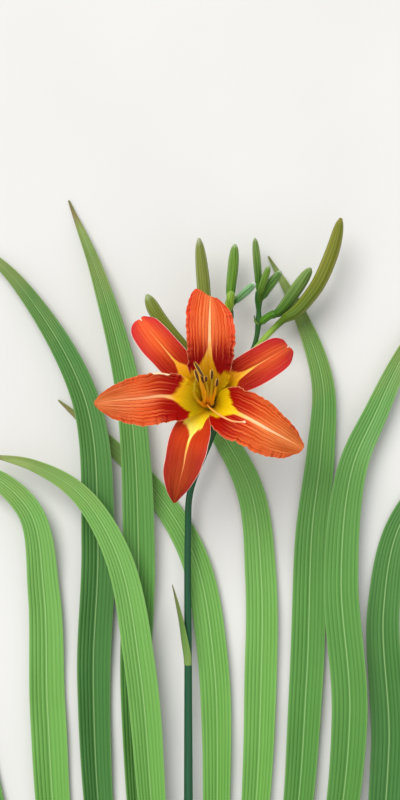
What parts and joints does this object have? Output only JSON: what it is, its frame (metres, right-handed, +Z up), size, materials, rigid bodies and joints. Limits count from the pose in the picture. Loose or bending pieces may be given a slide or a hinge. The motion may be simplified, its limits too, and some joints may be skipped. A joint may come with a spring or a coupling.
{
  "type": "daylily plant",
  "caption": "Cut daylily plant lying on its side, with strap leaves folded at the base, a branched stalk, an open orange flower and buds.",
  "frame": {"origin": "middle of the plant's outline seen from above, on the surface that it lies on", "axes": "+Z up, the way the open flower faces; +Y along the stalk from the cut to the buds; +X to the right with the flower on top"},
  "size_m": [0.4942, 0.6032, 0.0992],
  "materials": {
    "petal": "satin",
    "sepal": "satin",
    "tube": "satin",
    "filament": "satin",
    "anther": "matte",
    "pistil": "satin",
    "bud": "satin",
    "stalk": "satin",
    "bract": "satin",
    "leaf": "satin",
    "crown": "matte"
  },
  "bodies": {
    "root": {"crown": "crown", "scape": "stalk", "flower_tube": "tube", "petal_top": "petal", "petal_left": "petal", "petal_right": "petal", "sepal_left": "sepal", "sepal_right": "sepal", "sepal_bottom": "sepal", "filament_1": "filament", "filament_2": "filament", "filament_3": "filament", "filament_4": "filament", "filament_5": "filament", "filament_6": "filament", "anther_1": "anther", "anther_2": "anther", "anther_3": "anther", "anther_4": "anther", "anther_5": "anther", "anther_6": "anther", "pistil": "pistil", "bud_1": "bud", "bud_2": "bud", "bud_3": "bud", "bud_4": "bud", "bud_5": "bud", "bud_6": "bud", "bud_7": "bud", "bud_8": "bud", "bud_9": "bud", "bud_10": "bud", "bract_1": "bract", "bract_2": "bract", "bract_3": "bract", "bract_4": "bract", "bract_5": "bract", "leaf_1": "leaf", "leaf_2": "leaf", "leaf_3": "leaf", "leaf_4": "leaf", "leaf_5": "leaf", "leaf_6": "leaf", "leaf_7": "leaf", "leaf_8": "leaf", "leaf_9": "leaf", "leaf_10": "leaf", "leaf_11": "leaf", "leaf_12": "leaf"}
  },
  "joints": []
}
